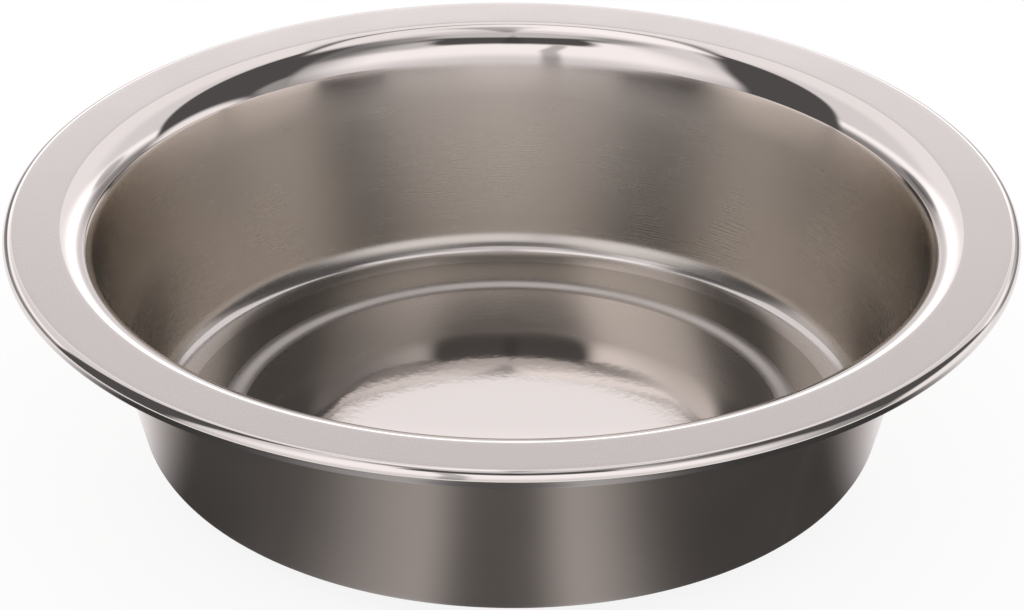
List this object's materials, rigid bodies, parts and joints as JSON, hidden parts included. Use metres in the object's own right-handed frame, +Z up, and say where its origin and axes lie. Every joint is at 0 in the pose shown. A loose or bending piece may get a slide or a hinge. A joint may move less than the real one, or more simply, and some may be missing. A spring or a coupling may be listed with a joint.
{
  "type": "shallow cat bowl",
  "caption": "Round shallow steel cat bowl with a flat satin brim, curled rim, polished lip, tapered wall and dished floor, on a bonded rubber ring; holds food or water.",
  "frame": {"origin": "centre of the ring of contact with the table, on the bowl's axis", "axes": "+Z up along the bowl's axis, out of its mouth; X and Y are free, because the bowl is round"},
  "size_m": [0.168, 0.168, 0.0443],
  "materials": {
    "satin_steel": "satin brushed brim and spun walls, mirror-polished lip, rim and floor disc",
    "black_rubber": "matt moulded"
  },
  "bodies": {
    "root": {"bowl_shell": "satin_steel", "non_slip_ring": "black_rubber"}
  },
  "joints": []
}
